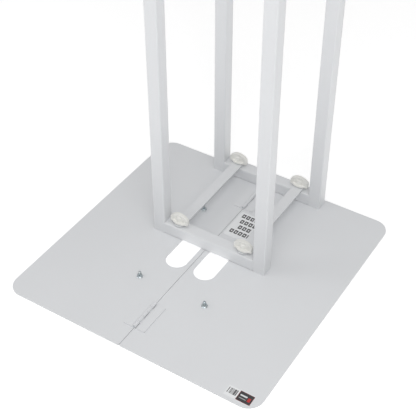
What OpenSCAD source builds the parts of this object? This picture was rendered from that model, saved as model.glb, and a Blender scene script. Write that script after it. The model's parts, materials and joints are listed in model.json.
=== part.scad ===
// Four-post tower stand on a folding base plate.
// Two ladder frames of square tube are tied by flat bars. Thumb knobs clamp frames and bars to
// threaded bosses, on the base plate below and on the top plate above. With the tower off, the
// base plate folds in two about its seam.
// Origin: centre of the base plate's underside. +X right, +Y back, +Z up. Millimetres.

/* [Base plate] */
// Width of the base plate, left to right
plate_w = 610; // [520:10:740]
// Depth of the base plate, front to back
plate_d = 616; // [600:10:740]
// Thickness of the sheet
plate_t = 3; // [2:0.5:5]
// Radius of the four outer corners
plate_corner_r = 35; // [10:5:60]
// Place of the folding seam, right of the centre
seam_x = -9.5; // [-20:0.5:20]
// Gap between the two halves
seam_gap = 1; // [0.6:0.2:2]

/* [Hand slots] */
// Width of each hand slot
slot_w = 50; // [36:1:60]
// Length of each hand slot, end to end
slot_l = 134; // [90:2:170]
// Sheet left between the seam edge and a slot
slot_land = 10.5; // [6:0.5:20]

/* [Hinges] */
// Length of each hinge
hinge_l = 77; // [60:1:100]
// Distance of each hinge's middle from the plate's front or rear edge
hinge_edge = 91.5; // [80:0.5:100]
// Reach of a leaf from the hinge axis
hinge_leaf_w = 25.5; // [18:0.5:32]
// Thickness of a leaf
hinge_leaf_t = 2; // [1:0.5:3]
// Outside diameter of the knuckles
hinge_barrel_d = 8; // [7:0.5:12]
// Diameter of the hinge pin
hinge_pin_d = 4; // [3:0.5:5]
// Gap between neighbouring knuckles
knuckle_gap = 0.4; // [0.3:0.1:1]

/* [Tower] */
// Height from the floor to the top plate's upper face
overall_h = 2000; // [900:10:2400]
// Outside width of the tower, left to right
tower_w = 287; // [270:1:400]
// Outside depth of the tower, front to back
tower_d = 286; // [250:1:300]
// Distance from the tower's rear face to the plate's rear edge
tower_back = 8; // [4:1:20]
// Place of the tower's middle, right of the plate's centre
tower_x = -2.5; // [-10:0.5:10]
// Outside size of the square tube
tube = 30; // [24:1:40]
// Wall of the square tube
tube_wall = 1.5; // [1:0.5:3]
// Outside corner radius of the square tube
tube_corner_r = 3; // [1:0.5:4]
// Depth of the plugs in the posts' ends
plug_l = 12; // [8:1:20]

/* [Clamp bars] */
// Distance between the two bars' middles
bar_pitch = 164; // [100:1:180]
// Width of a bar
bar_w = 25; // [20:1:30]
// Thickness of a bar
bar_t = 5; // [3:0.5:8]

/* [Clamp knobs] */
// Thread diameter of the knob screws
screw_d = 8; // [6:1:10]
// Reach of the knob's blade from the middle of its screw
knob_r = 22; // [18:1:26]
// Thickness of the blade
knob_blade_t = 9; // [6:1:12]
// Height of the knob above its seat, at the top of the blade's arch
knob_h = 24; // [20:1:30]
// Height of the blade's straight ends above the seat
knob_shoulder = 13; // [8:0.5:18]
// Width of the knob's foot, front to back
knob_foot_w = 22; // [20:0.5:26]
// Outside diameter of the threaded bosses
boss_d = 13; // [12.5:0.5:16]
// Height of the threaded bosses
boss_h = 8; // [6:1:12]
// Diameter of the washers under the knobs
washer_d = 20; // [18:1:24]

/* [Spare studs] */
// Thread diameter of the spare studs
stud_d = 6; // [5:1:8]
// Height of the spare studs above the sheet
stud_h = 14; // [12:1:16]
// Size of the flange nuts across their flats
nut_af = 10; // [10:1:13]
// Diameter of the nuts' flanges
nut_flange_d = 13.6; // [13:0.2:15]
// Height of the flange nuts
nut_h = 6; // [5:0.5:8]

/* [Top plate] */
// Overhang of the top plate beyond the tower on every side
top_over = 6.5; // [0:0.5:7.5]
// Thickness of the top plate
top_t = 3; // [2:0.5:5]
// Distance between the four fixing holes
top_hole_pitch = 90; // [60:5:150]
// Diameter of the four fixing holes
top_hole_d = 9; // [6:0.5:12]

/* [Labels] */
// Width of the ballast label
note_w = 68; // [40:1:80]
// Depth of the ballast label
note_d = 86; // [60:1:100]
// Width of the maker's label
maker_w = 58; // [40:1:70]
// Depth of the maker's label
maker_d = 25; // [15:1:30]
// Thickness of a label
label_t = 0.3; // [0.2:0.1:0.5]

/* [Hidden] */
$fn = 64;
fit_gap = 0.05;          // a pin or screw in a part that turns on it
free_gap = 0.3;          // pieces on different bodies that pass each other
hole_gap = 0.5;          // a screw or boss in its clearance hole
washer_t = 1.6;
nut_flange_t = 1.6;
nut_chamfer = 0.8;
stud_core = 0.5;         // depth of the thread that the nut fills
foot_t = 5;
foot_inset = 1;          // from the foot's points to the blade's ends
hub_r = 7.5;
hub_h = 15;
blade_recess = 1.2;
blade_rim = 3;
screw_tip = 1;           // gap under the screw's tip
screw_in_knob = 14;
label_edge = 4;          // corner radius of the ballast label
note_side = 4.5;         // from the seam to the ballast label
note_back = 9;           // from the ballast label to the rear hinge
maker_front = 8;         // from the plate's front edge to the maker's label
maker_side = 5;          // least distance from the plate's right edge to the maker's label
maker_tuck = 18;         // reach of the maker's label into the plate's rounded corner
knob_gap = 0.2;          // a knob over its washer
plug_gap = 0.1;          // a plug in its post
plug_wall = 2;
knuckles = 5;
top_corner_r = 6;

barrel_r = hinge_barrel_d / 2;
axis_z = plate_t + barrel_r + free_gap;
knuckle_l = (hinge_l - (knuckles - 1) * knuckle_gap) / knuckles;
tower_y = plate_d / 2 - tower_back - tower_d / 2;
post_x = (tower_w - tube) / 2;
post_y = (tower_d - tube) / 2;
post_l = overall_h - plate_t - top_t;
mid_z = plate_t + post_l / 2;
rail_l = tower_w - 2 * tube;
bar_z = plate_t + tube;
washer_z = bar_z + bar_t;
knob_z = washer_z + washer_t + knob_gap;
screw_r = screw_d / 2;
boss_bore_r = screw_r + free_gap;
stud_r = stud_d / 2;
hinge_y = plate_d / 2 - hinge_edge;
note_x = seam_x + note_side + note_w / 2;
note_y = hinge_y - hinge_l / 2 - note_back - note_d / 2;
maker_x = plate_w / 2 - max(plate_corner_r - maker_tuck, maker_side) - maker_w / 2;
maker_y = maker_front + maker_d / 2 - plate_d / 2;

// ---- shapes that repeat -------------------------------------------------------------------

// Square with round corners, exact arcs
module round_square(w, d, r) {
    square([w - 2 * r, d], center = true);
    square([w, d - 2 * r], center = true);
    for (sx = [-1, 1], sy = [-1, 1])
        translate([sx * (w / 2 - r), sy * (d / 2 - r)]) circle(r);
}

// Long hole with full round ends, along Y
module slot_2d(w, l) {
    square([w, l - w], center = true);
    for (s = [-1, 1]) translate([0, s * (l - w) / 2]) circle(w / 2);
}

// Section of the square tube
module tube_2d() {
    difference() {
        round_square(tube, tube, tube_corner_r);
        round_square(tube - 2 * tube_wall, tube - 2 * tube_wall, tube_corner_r / 2);
    }
}

// Cylinder along Y, centred
module y_cylinder(r, l) {
    rotate([90, 0, 0]) cylinder(r = r, h = l, center = true);
}

// Children at one corner of the tower: sx -1 left, 1 right; sy -1 front, 1 rear
module at_tower(sx, sy, dx, dy) {
    translate([tower_x + sx * dx, tower_y + sy * dy, 0]) children();
}

// Children at a clamp point
module at_clamp(sx, sy) {
    at_tower(sx, sy, bar_pitch / 2, post_y) children();
}

// Children turned over, from the tower's foot to its head
module at_head() {
    translate([0, 0, 2 * mid_z]) mirror([0, 0, 1]) children();
}

// ---- base plate ---------------------------------------------------------------------------

// One half of the folding plate: side -1 left, 1 right
module base_half(side) {
    edge = seam_x + side * seam_gap / 2;
    outer = side * plate_w / 2;
    slot_x = edge + side * (slot_land + slot_w / 2);
    linear_extrude(plate_t)
        difference() {
            intersection() {
                round_square(plate_w, plate_d, plate_corner_r);
                translate([min(edge, outer), -plate_d / 2]) square([abs(outer - edge), plate_d]);
            }
            translate([slot_x, 0]) slot_2d(slot_w, slot_l);
        }
}

module left_base_plate() { color("whitesmoke") base_half(-1); }
module right_base_plate() { color("whitesmoke") base_half(1); }

// ---- hinges -------------------------------------------------------------------------------

// Middle of knuckle i along the hinge
function knuckle_y(i) = -hinge_l / 2 + knuckle_l / 2 + i * (knuckle_l + knuckle_gap);

// One leaf with its own knuckles, first = 0 or 1
module hinge_leaf(side, first) {
    root = barrel_r + hole_gap;
    difference() {
        union() {
            translate([side > 0 ? root : -hinge_leaf_w, -hinge_l / 2, plate_t])
                cube([hinge_leaf_w - root, hinge_l, hinge_leaf_t]);
            for (i = [first:2:knuckles - 1]) {
                translate([0, knuckle_y(i), axis_z]) y_cylinder(barrel_r, knuckle_l);
                translate([side > 0 ? seam_gap / 2 : -root - 1, knuckle_y(i) - knuckle_l / 2, plate_t])
                    cube([root + 1 - seam_gap / 2, knuckle_l, hinge_leaf_t]);
            }
        }
        translate([0, 0, axis_z]) y_cylinder(hinge_pin_d / 2 + fit_gap, hinge_l + 2);
    }
}

module hinge_pin() {
    translate([0, 0, axis_z]) y_cylinder(hinge_pin_d / 2, hinge_l);
}

module at_hinge(end) { translate([seam_x, end * hinge_y, 0]) children(); }

module front_hinge_left_leaf() { color("whitesmoke") at_hinge(-1) hinge_leaf(-1, 0); }
module front_hinge_right_leaf() { color("whitesmoke") at_hinge(-1) hinge_leaf(1, 1); }
module front_hinge_pin() { color("silver") at_hinge(-1) hinge_pin(); }
module rear_hinge_left_leaf() { color("whitesmoke") at_hinge(1) hinge_leaf(-1, 0); }
module rear_hinge_right_leaf() { color("whitesmoke") at_hinge(1) hinge_leaf(1, 1); }
module rear_hinge_pin() { color("silver") at_hinge(1) hinge_pin(); }

// ---- spare studs in the middle of the plate, with their flange nuts -------------------------

// Children at both spare studs of one half
module at_spares(side) {
    for (sy = [-1, 1]) translate([tower_x + side * bar_pitch / 2, sy * post_y, plate_t]) children();
}

// Welded stud: thread core inside the nut, full thread above it
module spare_stud() {
    cylinder(r = stud_r - stud_core, h = nut_h + stud_core);
    translate([0, 0, nut_h + stud_core]) cylinder(r = stud_r, h = stud_h - nut_h - 2 * stud_core);
    translate([0, 0, stud_h - stud_core]) cylinder(r1 = stud_r, r2 = stud_r - stud_core, h = stud_core);
}

module flange_nut() {
    difference() {
        union() {
            cylinder(d = nut_flange_d, h = nut_flange_t);
            intersection() {
                cylinder(d = nut_af / cos(30), h = nut_h, $fn = 6);
                cylinder(r1 = nut_af, r2 = nut_af / 2 + nut_chamfer / 4, h = nut_h);
            }
        }
        translate([0, 0, -1]) cylinder(r = stud_r - stud_core + fit_gap, h = nut_h + 2);
    }
}

module left_spare_studs() { color("silver") at_spares(-1) spare_stud(); }
module right_spare_studs() { color("silver") at_spares(1) spare_stud(); }
module left_flange_nuts() { color("silver") at_spares(-1) flange_nut(); }
module right_flange_nuts() { color("silver") at_spares(1) flange_nut(); }

// ---- threaded bosses that the knob screws go into -------------------------------------------

module boss() {
    translate([0, 0, plate_t])
        difference() {
            cylinder(d = boss_d, h = boss_h);
            translate([0, 0, -1]) cylinder(r = boss_bore_r, h = boss_h + 2);
        }
}

module left_threaded_bosses() { color("silver") for (sy = [-1, 1]) at_clamp(-1, sy) boss(); }
module right_threaded_bosses() { color("silver") for (sy = [-1, 1]) at_clamp(1, sy) boss(); }

module top_threaded_bosses() {
    color("silver") at_head() for (sx = [-1, 1], sy = [-1, 1]) at_clamp(sx, sy) boss();
}

// ---- labels -------------------------------------------------------------------------------

module ballast_label() {
    color("white")
        translate([note_x, note_y, plate_t])
            linear_extrude(label_t) round_square(note_w, note_d, label_edge);
}

module maker_label() {
    color("dimgray")
        translate([maker_x, maker_y, plate_t])
            linear_extrude(label_t) square([maker_w, maker_d], center = true);
}

// ---- tower frames -------------------------------------------------------------------------

module post(sx, sy) {
    color("whitesmoke")
        at_tower(sx, sy, post_x, post_y)
            translate([0, 0, plate_t]) linear_extrude(post_l) tube_2d();
}

module front_left_post() { post(-1, -1); }
module front_right_post() { post(1, -1); }
module rear_left_post() { post(-1, 1); }
module rear_right_post() { post(1, 1); }

// Tube along X whose lower face is at z
module rail_tube(sy, z) {
    translate([tower_x, tower_y + sy * post_y, z + tube / 2])
        rotate([0, 90, 0]) linear_extrude(rail_l, center = true) tube_2d();
}

// Rail at the tower's foot: the lower wall clears the bosses, the upper wall the screws
module clamped_rail(sy) {
    difference() {
        rail_tube(sy, plate_t);
        for (sx = [-1, 1]) at_clamp(sx, sy) {
            translate([0, 0, plate_t - 1]) cylinder(d = boss_d + 2 * hole_gap, h = tube / 2);
            cylinder(r = screw_r + hole_gap, h = bar_z + 1);
        }
    }
}

module front_bottom_rail() { color("whitesmoke") clamped_rail(-1); }
module rear_bottom_rail() { color("whitesmoke") clamped_rail(1); }
module front_top_rail() { color("whitesmoke") at_head() clamped_rail(-1); }
module rear_top_rail() { color("whitesmoke") at_head() clamped_rail(1); }
module front_middle_rail() { color("whitesmoke") rail_tube(-1, mid_z - tube / 2); }
module rear_middle_rail() { color("whitesmoke") rail_tube(1, mid_z - tube / 2); }

// Plugs that close one end of the four posts
module post_plugs() {
    inner = tube - 2 * (tube_wall + plug_gap);
    hollow = inner - 2 * plug_wall;
    for (sx = [-1, 1], sy = [-1, 1])
        at_tower(sx, sy, post_x, post_y)
            translate([0, 0, plate_t])
                difference() {
                    linear_extrude(plug_l) round_square(inner, inner, tube_corner_r / 2);
                    translate([0, 0, plug_wall])
                        linear_extrude(plug_l) round_square(hollow, hollow, tube_corner_r / 2);
                }
}

module bottom_post_plugs() { color("gainsboro") post_plugs(); }
module top_post_plugs() { color("gainsboro") at_head() post_plugs(); }

// ---- bars that tie the frames, under the knobs -----------------------------------------------

module clamp_bar(sx) {
    translate([0, 0, bar_z])
        linear_extrude(bar_t)
            difference() {
                translate([tower_x + sx * bar_pitch / 2, tower_y]) slot_2d(bar_w, 2 * post_y + bar_w);
                for (sy = [-1, 1]) at_clamp(sx, sy) circle(screw_r + hole_gap);
            }
}

module left_bottom_bar() { color("whitesmoke") clamp_bar(-1); }
module right_bottom_bar() { color("whitesmoke") clamp_bar(1); }
module left_top_bar() { color("whitesmoke") at_head() clamp_bar(-1); }
module right_top_bar() { color("whitesmoke") at_head() clamp_bar(1); }

module washers() {
    for (sx = [-1, 1], sy = [-1, 1])
        at_clamp(sx, sy)
            translate([0, 0, washer_z])
                difference() {
                    cylinder(d = washer_d, h = washer_t);
                    translate([0, 0, -1]) cylinder(r = screw_r + hole_gap, h = washer_t + 2);
                }
}

module bottom_washers() { color("silver") washers(); }
module top_washers() { color("silver") at_head() washers(); }

// ---- clamp knobs: a boat-shaped foot, a hub and an arched blade to turn it by ------------------

// Radius of an arc that rises over a chord of twice the half width
function arc_r(half, rise) = (half * half + rise * rise) / (2 * rise);

// Outline of the blade: straight ends with an arch over them
module blade_2d(inset) {
    arch_r = arc_r(knob_r, knob_h - knob_shoulder);
    intersection() {
        translate([0, knob_h - arch_r]) circle(arch_r - inset);
        translate([inset - knob_r, inset]) square([2 * (knob_r - inset), knob_h]);
    }
}

// Outline of the foot from above: two arcs that meet inside the blade's ends
module foot_2d() {
    side_r = arc_r(knob_r - foot_inset, knob_foot_w / 2);
    intersection() {
        translate([0, side_r - knob_foot_w / 2]) circle(side_r);
        translate([0, knob_foot_w / 2 - side_r]) circle(side_r);
    }
}

module knob_head() {
    translate([0, 0, knob_z])
        difference() {
            union() {
                linear_extrude(foot_t) foot_2d();
                cylinder(r = hub_r, h = hub_h);
                rotate([90, 0, 0])
                    linear_extrude(knob_blade_t - 2 * blade_recess, center = true) blade_2d(0);
                rotate([90, 0, 0])
                    linear_extrude(knob_blade_t, center = true)
                        difference() {
                            blade_2d(0);
                            blade_2d(blade_rim);
                        }
            }
            translate([0, 0, -1]) cylinder(r = screw_r + fit_gap, h = screw_in_knob + 1);
        }
}

module knob_screw() {
    tip_z = plate_t + screw_tip;
    translate([0, 0, tip_z]) cylinder(r = screw_r, h = knob_z + screw_in_knob - tip_z);
}

module knob(sx, sy) { color("ivory") at_clamp(sx, sy) knob_head(); }
module screw(sx, sy) { color("silver") at_clamp(sx, sy) knob_screw(); }

module bottom_front_left_knob() { knob(-1, -1); }
module bottom_front_right_knob() { knob(1, -1); }
module bottom_rear_left_knob() { knob(-1, 1); }
module bottom_rear_right_knob() { knob(1, 1); }
module top_front_left_knob() { at_head() knob(-1, -1); }
module top_front_right_knob() { at_head() knob(1, -1); }
module top_rear_left_knob() { at_head() knob(-1, 1); }
module top_rear_right_knob() { at_head() knob(1, 1); }
module bottom_front_left_screw() { screw(-1, -1); }
module bottom_front_right_screw() { screw(1, -1); }
module bottom_rear_left_screw() { screw(-1, 1); }
module bottom_rear_right_screw() { screw(1, 1); }
module top_front_left_screw() { at_head() screw(-1, -1); }
module top_front_right_screw() { at_head() screw(1, -1); }
module top_rear_left_screw() { at_head() screw(-1, 1); }
module top_rear_right_screw() { at_head() screw(1, 1); }

// ---- top plate ------------------------------------------------------------------------------

module top_plate() {
    color("whitesmoke")
        translate([tower_x, tower_y, overall_h - top_t])
            linear_extrude(top_t)
                difference() {
                    round_square(tower_w + 2 * top_over, tower_d + 2 * top_over, top_corner_r);
                    for (sx = [-1, 1], sy = [-1, 1])
                        translate([sx, sy] * top_hole_pitch / 2) circle(d = top_hole_d);
                }
}

left_base_plate();
right_base_plate();
front_hinge_left_leaf();
front_hinge_right_leaf();
front_hinge_pin();
rear_hinge_left_leaf();
rear_hinge_right_leaf();
rear_hinge_pin();
left_spare_studs();
right_spare_studs();
left_flange_nuts();
right_flange_nuts();
left_threaded_bosses();
right_threaded_bosses();
ballast_label();
maker_label();
front_left_post();
front_right_post();
rear_left_post();
rear_right_post();
front_bottom_rail();
rear_bottom_rail();
front_middle_rail();
rear_middle_rail();
front_top_rail();
rear_top_rail();
left_bottom_bar();
right_bottom_bar();
left_top_bar();
right_top_bar();
bottom_washers();
top_washers();
bottom_post_plugs();
top_post_plugs();
top_plate();
top_threaded_bosses();
bottom_front_left_knob();
bottom_front_right_knob();
bottom_rear_left_knob();
bottom_rear_right_knob();
top_front_left_knob();
top_front_right_knob();
top_rear_left_knob();
top_rear_right_knob();
bottom_front_left_screw();
bottom_front_right_screw();
bottom_rear_left_screw();
bottom_rear_right_screw();
top_front_left_screw();
top_front_right_screw();
top_rear_left_screw();
top_rear_right_screw();
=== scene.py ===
"""Finished pieces, materials and studio of a four-post tower stand on a folding base plate.

Everything is in metres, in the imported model's own frame: +X right, +Y back, +Z up, floor at zero.
Painted sheet and tube, zinc-plated hardware, moulded thumb knobs and printed labels are built
where the model's nodes say, and each finished piece rides on the body of the nodes it stands for.
"""

import json
import math

import bmesh
import bpy
from mathutils import Matrix, Vector


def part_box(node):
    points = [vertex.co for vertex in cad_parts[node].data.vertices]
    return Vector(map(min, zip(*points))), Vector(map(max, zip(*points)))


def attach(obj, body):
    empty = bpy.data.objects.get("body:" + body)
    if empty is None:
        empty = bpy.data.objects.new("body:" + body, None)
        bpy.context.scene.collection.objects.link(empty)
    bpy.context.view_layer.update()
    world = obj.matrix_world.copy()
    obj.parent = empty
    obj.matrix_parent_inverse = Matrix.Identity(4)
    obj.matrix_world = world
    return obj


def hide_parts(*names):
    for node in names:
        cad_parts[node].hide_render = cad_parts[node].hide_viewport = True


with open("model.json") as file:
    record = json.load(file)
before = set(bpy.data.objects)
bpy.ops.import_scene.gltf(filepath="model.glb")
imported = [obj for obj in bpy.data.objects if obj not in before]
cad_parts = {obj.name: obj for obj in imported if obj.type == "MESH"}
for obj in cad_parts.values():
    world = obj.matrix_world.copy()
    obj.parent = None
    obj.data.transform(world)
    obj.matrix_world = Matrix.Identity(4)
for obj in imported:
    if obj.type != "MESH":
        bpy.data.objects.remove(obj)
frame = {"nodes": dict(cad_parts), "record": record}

bl_info = {
    "name": "Tower stand",
    "version": (1, 0, 0),
    "blender": (4, 5, 0),
    "location": "3D View > Sidebar > Tower stand",
    "description": "Builds the finished pieces, materials and studio of a tower stand",
    "category": "Object",
}

MM = 0.001
BODY_OF = {
    node: body
    for body, nodes in frame["record"]["behaviour"]["bodies"].items()
    for node in nodes
}
SLOT_OF = {part["node"]: part["material_slot"] for part in frame["record"]["subparts"]}
SIDES = ("left", "right")
ROWS = ("front", "rear")
ENDS = ("bottom", "top")
ARC_STEPS = 16
FINE_ARC_STEPS = 24
PAINTED = "white_powder_coat"
ZINC = "zinc_steel"
PAPER = (0.86, 0.87, 0.88)
NO_EDGE_SHADE = (-1.0, -0.9)    # heights below the floor, for paint that gets no painted shade on its edges
THREAD_DEPTH = 0.45      # height of a thread over its core, as a share of its pitch
RIBS = (-0.80, -0.68, -0.56, 0.56, 0.68, 0.80)    # grip ribs, as shares of the blade's reach


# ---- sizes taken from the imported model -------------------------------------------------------


def middle(node):
    """Middle of a node's box."""
    low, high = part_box(node)
    return (low + high) / 2


def extent(node):
    """Width, depth and height of a node's box."""
    low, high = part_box(node)
    return high - low


TUBE = extent("front_left_post").x
PLATE_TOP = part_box("right_base_plate")[1].z
CLAMPS = [(end, row, side) for end in ENDS for row in ROWS for side in SIDES]


def clamp_place(end, row, side):
    """Middle of one clamp screw, in plan."""
    centre = middle(f"{end}_{row}_{side}_screw")
    return centre.x, centre.y


def clamp_matrix(node, end, row, side):
    """Takes a clamp part from the origin to its node, upside down at the tower's head."""
    low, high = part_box(node)
    x, y = clamp_place(end, row, side)
    if end == "bottom":
        return Matrix.Translation((x, y, low.z))
    return Matrix.Translation((x, y, high.z)) @ Matrix.Rotation(math.pi, 4, "X")


# ---- what a user would change ----------------------------------------------------------------


class SheetSizes(bpy.types.PropertyGroup):
    """Sizes of the cut sheet parts."""

    corner: bpy.props.FloatProperty(
        name="Plate corner", description="Radius of the base plate's outer corners",
        default=35 * MM, min=0.0, unit="LENGTH")
    seam_corner: bpy.props.FloatProperty(
        name="Seam corner", description="Radius of the plate halves' corners at the seam",
        default=2.5 * MM, min=0.0, unit="LENGTH")
    slot_width: bpy.props.FloatProperty(
        name="Slot width", description="Width of a hand slot",
        default=50 * MM, min=0.0, unit="LENGTH")
    slot_length: bpy.props.FloatProperty(
        name="Slot length", description="Length of a hand slot, end to end",
        default=134 * MM, min=0.0, unit="LENGTH")
    slot_land: bpy.props.FloatProperty(
        name="Slot land", description="Sheet left between the seam edge and a hand slot",
        default=10.5 * MM, min=0.0, unit="LENGTH")
    edge: bpy.props.FloatProperty(
        name="Painted edge", description="Radius that the paint leaves on a cut edge",
        default=0.5 * MM, min=0.0, unit="LENGTH")
    bar_edge: bpy.props.FloatProperty(
        name="Bar edge", description="Radius of the edges of the flat bars",
        default=0.5 * MM, min=0.0, unit="LENGTH")
    screw_hole: bpy.props.FloatProperty(
        name="Screw hole", description="Diameter of the clearance holes for the clamp screws",
        default=9 * MM, min=0.0, unit="LENGTH")
    top_corner: bpy.props.FloatProperty(
        name="Top plate corner", description="Radius of the top plate's corners",
        default=6 * MM, min=0.0, unit="LENGTH")
    label_corner: bpy.props.FloatProperty(
        name="Label corner", description="Radius of the ballast label's corners",
        default=4 * MM, min=0.0, unit="LENGTH")


class TubeSizes(bpy.types.PropertyGroup):
    """Sizes of the square tube and its welds."""

    size: bpy.props.FloatProperty(
        name="Tube size", description="Outside size of the square tube",
        default=TUBE, min=0.0, unit="LENGTH")
    wall: bpy.props.FloatProperty(
        name="Tube wall", description="Wall of the square tube",
        default=1.5 * MM, min=0.0, unit="LENGTH")
    corner: bpy.props.FloatProperty(
        name="Tube corner", description="Outside corner radius of the square tube",
        default=3 * MM, min=0.0, unit="LENGTH")
    bead: bpy.props.FloatProperty(
        name="Weld bead", description="Radius of the weld beads",
        default=1.4 * MM, min=0.0, unit="LENGTH")
    ripple: bpy.props.FloatProperty(
        name="Weld ripple", description="Distance between two ripples of a weld bead",
        default=1.9 * MM, min=0.0, unit="LENGTH")
    boss_hole: bpy.props.FloatProperty(
        name="Boss hole", description="Diameter of the holes that clear the threaded bosses",
        default=14 * MM, min=0.0, unit="LENGTH")


class KnobSizes(bpy.types.PropertyGroup):
    """Sizes of a thumb knob."""

    blade: bpy.props.FloatProperty(
        name="Blade reach", description="Reach of the blade from the middle of the screw",
        default=22 * MM, min=0.0, unit="LENGTH")
    shoulder: bpy.props.FloatProperty(
        name="Shoulder", description="Height of the blade's straight ends, below the arch",
        default=13 * MM, min=0.0, unit="LENGTH")
    thickness: bpy.props.FloatProperty(
        name="Blade thickness", description="Thickness of the blade at its rim",
        default=9 * MM, min=0.0, unit="LENGTH")
    rim: bpy.props.FloatProperty(
        name="Rim", description="Width of the raised rim round the blade",
        default=3 * MM, min=0.0, unit="LENGTH")
    recess: bpy.props.FloatProperty(
        name="Recess", description="Depth of the blade's faces below the rim",
        default=1.2 * MM, min=0.0, unit="LENGTH")
    foot: bpy.props.FloatProperty(
        name="Foot width", description="Width of the boat-shaped foot, front to back",
        default=22 * MM, min=0.0, unit="LENGTH")
    foot_height: bpy.props.FloatProperty(
        name="Foot height", description="Height of the boat-shaped foot",
        default=5 * MM, min=0.0, unit="LENGTH")
    hub: bpy.props.FloatProperty(
        name="Hub radius", description="Radius of the hub round the screw",
        default=7.5 * MM, min=0.0, unit="LENGTH")
    hub_height: bpy.props.FloatProperty(
        name="Hub height", description="Height of the hub",
        default=15 * MM, min=0.0, unit="LENGTH")
    rib: bpy.props.FloatProperty(
        name="Grip rib", description="Width of one grip rib at the ends of the blade",
        default=1.5 * MM, min=0.0, unit="LENGTH")
    voxel: bpy.props.FloatProperty(
        name="Blend size", description="Grain at which the moulded shapes are blended",
        default=0.45 * MM, min=0.0, unit="LENGTH")


class HardwareSizes(bpy.types.PropertyGroup):
    """Sizes of the studs, nuts, screws, bosses and washers."""

    nut_flats: bpy.props.FloatProperty(
        name="Nut flats", description="Size of a flange nut across its flats",
        default=10 * MM, min=0.0, unit="LENGTH")
    nut_flange: bpy.props.FloatProperty(
        name="Nut flange", description="Diameter of a nut's flange",
        default=13.6 * MM, min=0.0, unit="LENGTH")
    stud: bpy.props.FloatProperty(
        name="Stud", description="Thread diameter of the spare studs",
        default=6 * MM, min=0.0, unit="LENGTH")
    stud_pitch: bpy.props.FloatProperty(
        name="Stud pitch", description="Thread pitch of the spare studs",
        default=1 * MM, min=0.0, unit="LENGTH")
    screw: bpy.props.FloatProperty(
        name="Clamp screw", description="Thread diameter of the clamp screws",
        default=8 * MM, min=0.0, unit="LENGTH")
    screw_pitch: bpy.props.FloatProperty(
        name="Screw pitch", description="Thread pitch of the clamp screws",
        default=1.25 * MM, min=0.0, unit="LENGTH")
    washer: bpy.props.FloatProperty(
        name="Washer", description="Diameter of the washers under the knobs",
        default=20 * MM, min=0.0, unit="LENGTH")
    boss: bpy.props.FloatProperty(
        name="Boss", description="Outside diameter of the threaded bosses",
        default=13 * MM, min=0.0, unit="LENGTH")


class Finishes(bpy.types.PropertyGroup):
    """Colours of the finishes."""

    paint: bpy.props.FloatVectorProperty(
        name="Powder coat", description="Colour of the powder coat", subtype="COLOR",
        default=(0.755, 0.766, 0.782), min=0.0, max=1.0)
    zinc: bpy.props.FloatVectorProperty(
        name="Zinc", description="Colour of the zinc plating", subtype="COLOR",
        default=(0.55, 0.61, 0.65), min=0.0, max=1.0)
    knob: bpy.props.FloatVectorProperty(
        name="Knob plastic", description="Colour of the thumb knobs", subtype="COLOR",
        default=(0.84, 0.835, 0.80), min=0.0, max=1.0)
    plug: bpy.props.FloatVectorProperty(
        name="Plug plastic", description="Colour of the tube plugs", subtype="COLOR",
        default=(0.62, 0.62, 0.61), min=0.0, max=1.0)
    ink: bpy.props.FloatVectorProperty(
        name="Ink", description="Colour of the printed marks", subtype="COLOR",
        default=(0.035, 0.033, 0.035), min=0.0, max=1.0)
    accent: bpy.props.FloatVectorProperty(
        name="Accent", description="Accent colour of the maker's label", subtype="COLOR",
        default=(0.55, 0.03, 0.03), min=0.0, max=1.0)


class Studio(bpy.types.PropertyGroup):
    """Camera and light."""

    target: bpy.props.FloatVectorProperty(
        name="Target", description="Point on the base plate that the camera looks at",
        default=(-0.0793, 0.1380, 0.003), unit="LENGTH")
    distance: bpy.props.FloatProperty(
        name="Distance", description="Distance from the camera to its target",
        default=2.2342, min=0.1, unit="LENGTH")
    azimuth: bpy.props.FloatProperty(
        name="Azimuth", description="Camera's turn about the stand, from the front to the right",
        default=math.radians(32.198), unit="ROTATION")
    elevation: bpy.props.FloatProperty(
        name="Elevation", description="Camera's height above the horizon",
        default=math.radians(41.170), unit="ROTATION")
    lens: bpy.props.FloatProperty(
        name="Focal length", description="Focal length in millimetres on a 36 mm sensor",
        default=83.33, min=1.0)
    sky: bpy.props.FloatProperty(
        name="Room light", description="Strength of the even light of the white room",
        default=0.5, min=0.0)


# ---- node trees written as expressions ---------------------------------------------------------


class Socket:
    """A node's output that takes part in sums: each operator adds the Math node that it needs."""

    def __init__(self, graph, socket):
        self.graph = graph
        self.socket = socket

    def maths(self, operation, *values):
        """One Math node on these values."""
        return self.graph.node(
            "ShaderNodeMath", {"operation": operation}, dict(enumerate(values)))

    def __add__(self, other):
        return self.maths("ADD", self, other)

    __radd__ = __add__

    def __sub__(self, other):
        return self.maths("SUBTRACT", self, other)

    def __rsub__(self, other):
        return self.maths("SUBTRACT", other, self)

    def __mul__(self, other):
        return self.maths("MULTIPLY", self, other)

    __rmul__ = __mul__

    def __truediv__(self, other):
        return self.maths("DIVIDE", self, other)

    def __lt__(self, other):
        return self.maths("LESS_THAN", self, other)

    def __gt__(self, other):
        return self.maths("GREATER_THAN", self, other)

    def __abs__(self):
        return self.maths("ABSOLUTE", self)

    def fraction(self):
        return self.maths("FRACT", self)

    def floor(self):
        return self.maths("FLOOR", self)

    def sine(self):
        return self.maths("SINE", self)

    def smooth(self, low, high):
        """0 up to low, 1 from high, and a smooth step between them."""
        return self.graph.node(
            "ShaderNodeMapRange", {"interpolation_type": "SMOOTHSTEP"},
            {"Value": self, "From Min": low, "From Max": high})


class Graph:
    """A node tree under construction."""

    def __init__(self, tree):
        self.tree = tree

    def node(self, kind, settings=None, values=None, output=0):
        """Add a node: its settings first, then the values or links of its sockets."""
        made = self.tree.nodes.new(kind)
        for name, value in (settings or {}).items():
            setattr(made, name, value)
        for name, value in (values or {}).items():
            if isinstance(value, Socket):
                self.tree.links.new(value.socket, made.inputs[name])
            else:
                made.inputs[name].default_value = value
        return Socket(self, made.outputs[output])


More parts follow.
